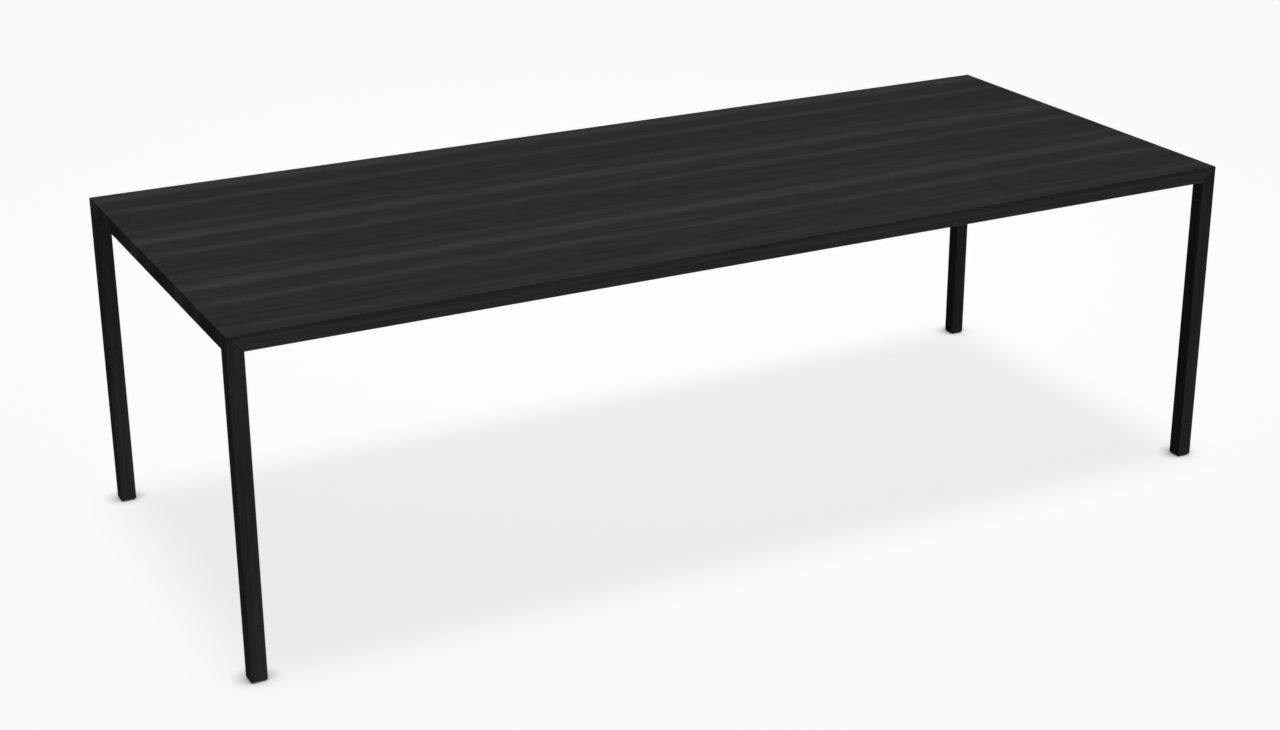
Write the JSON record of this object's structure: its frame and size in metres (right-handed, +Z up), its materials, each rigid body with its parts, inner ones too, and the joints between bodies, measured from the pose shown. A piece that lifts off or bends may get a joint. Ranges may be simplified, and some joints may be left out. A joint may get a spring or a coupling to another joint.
{
  "type": "dining table",
  "caption": "Long slim rectangular dining table in black-stained oak: thin square-section legs and top edge of one width, mitred at the corners, on a hidden steel frame with levelling feet.",
  "frame": {"origin": "on the floor under the middle of the top", "axes": "+X along the length, +Y from the front long side to the back long side, +Z up"},
  "size_m": [2.4, 1, 0.74],
  "materials": {
    "black_oak": "satin",
    "frame_steel": "satin",
    "zinc_steel": "satin",
    "core_board": "matte",
    "backing_veneer": "matte",
    "nylon": "matte"
  },
  "bodies": {
    "table": {"top_leaf_front": "black_oak", "top_leaf_middle": "black_oak", "top_leaf_rear": "black_oak", "front_edge_strip": "black_oak", "right_edge_strip": "black_oak", "rear_edge_strip": "black_oak", "left_edge_strip": "black_oak", "front_bottom_strip": "black_oak", "right_bottom_strip": "black_oak", "rear_bottom_strip": "black_oak", "left_bottom_strip": "black_oak", "front_left_leg_front_strip": "black_oak", "front_left_leg_right_strip": "black_oak", "front_left_leg_rear_strip": "black_oak", "front_left_leg_left_strip": "black_oak", "front_right_leg_front_strip": "black_oak", "front_right_leg_right_strip": "black_oak", "front_right_leg_rear_strip": "black_oak", "front_right_leg_left_strip": "black_oak", "rear_right_leg_front_strip": "black_oak", "rear_right_leg_right_strip": "black_oak", "rear_right_leg_rear_strip": "black_oak", "rear_right_leg_left_strip": "black_oak", "rear_left_leg_front_strip": "black_oak", "rear_left_leg_right_strip": "black_oak", "rear_left_leg_rear_strip": "black_oak", "rear_left_leg_left_strip": "black_oak", "front_rail_tube": "frame_steel", "right_rail_tube": "frame_steel", "rear_rail_tube": "frame_steel", "left_rail_tube": "frame_steel", "front_left_corner_block": "frame_steel", "front_right_corner_block": "frame_steel", "rear_right_corner_block": "frame_steel", "rear_left_corner_block": "frame_steel", "front_left_leg_tube": "frame_steel", "front_right_leg_tube": "frame_steel", "rear_right_leg_tube": "frame_steel", "rear_left_leg_tube": "frame_steel", "cross_bar_left": "frame_steel", "cross_bar_centre": "frame_steel", "cross_bar_right": "frame_steel", "fixing_lugs": "frame_steel", "leg_top_plugs": "frame_steel", "foot_plugs": "frame_steel", "top_screws": "zinc_steel", "leg_bolts": "zinc_steel", "core_board": "core_board", "balancing_veneer": "backing_veneer"},
    "front_left_foot": {"front_left_foot_pad": "nylon"},
    "front_right_foot": {"front_right_foot_pad": "nylon"},
    "rear_right_foot": {"rear_right_foot_pad": "nylon"},
    "rear_left_foot": {"rear_left_foot_pad": "nylon"},
    "front_left_screw": {"front_left_foot_stem": "zinc_steel"},
    "front_right_screw": {"front_right_foot_stem": "zinc_steel"},
    "rear_right_screw": {"rear_right_foot_stem": "zinc_steel"},
    "rear_left_screw": {"rear_left_foot_stem": "zinc_steel"}
  },
  "joints": [
    {"name": "front_left_foot_travel", "type": "slide", "parent": "table", "child": "front_left_foot", "axis": [0, 0, -1], "range_m": [0, 0.01]},
    {"name": "front_left_foot_turn", "type": "hinge", "parent": "front_left_foot", "child": "front_left_screw", "pos_m": [-1.1825, -0.4825, 0.004], "axis": [0, 0, -1], "range_deg": [0, 2880]},
    {"name": "front_right_foot_travel", "type": "slide", "parent": "table", "child": "front_right_foot", "axis": [0, 0, -1], "range_m": [0, 0.01]},
    {"name": "front_right_foot_turn", "type": "hinge", "parent": "front_right_foot", "child": "front_right_screw", "pos_m": [1.1825, -0.4825, 0.004], "axis": [0, 0, -1], "range_deg": [0, 2880]},
    {"name": "rear_right_foot_travel", "type": "slide", "parent": "table", "child": "rear_right_foot", "axis": [0, 0, -1], "range_m": [0, 0.01]},
    {"name": "rear_right_foot_turn", "type": "hinge", "parent": "rear_right_foot", "child": "rear_right_screw", "pos_m": [1.1825, 0.4825, 0.004], "axis": [0, 0, -1], "range_deg": [0, 2880]},
    {"name": "rear_left_foot_travel", "type": "slide", "parent": "table", "child": "rear_left_foot", "axis": [0, 0, -1], "range_m": [0, 0.01]},
    {"name": "rear_left_foot_turn", "type": "hinge", "parent": "rear_left_foot", "child": "rear_left_screw", "pos_m": [-1.1825, 0.4825, 0.004], "axis": [0, 0, -1], "range_deg": [0, 2880]}
  ],
  "couplings": [
    {"joint": "front_left_foot_travel", "follows": "front_left_foot_turn", "m_per_rad": 0.00019894},
    {"joint": "front_right_foot_travel", "follows": "front_right_foot_turn", "m_per_rad": 0.00019894},
    {"joint": "rear_right_foot_travel", "follows": "rear_right_foot_turn", "m_per_rad": 0.00019894},
    {"joint": "rear_left_foot_travel", "follows": "rear_left_foot_turn", "m_per_rad": 0.00019894}
  ]
}
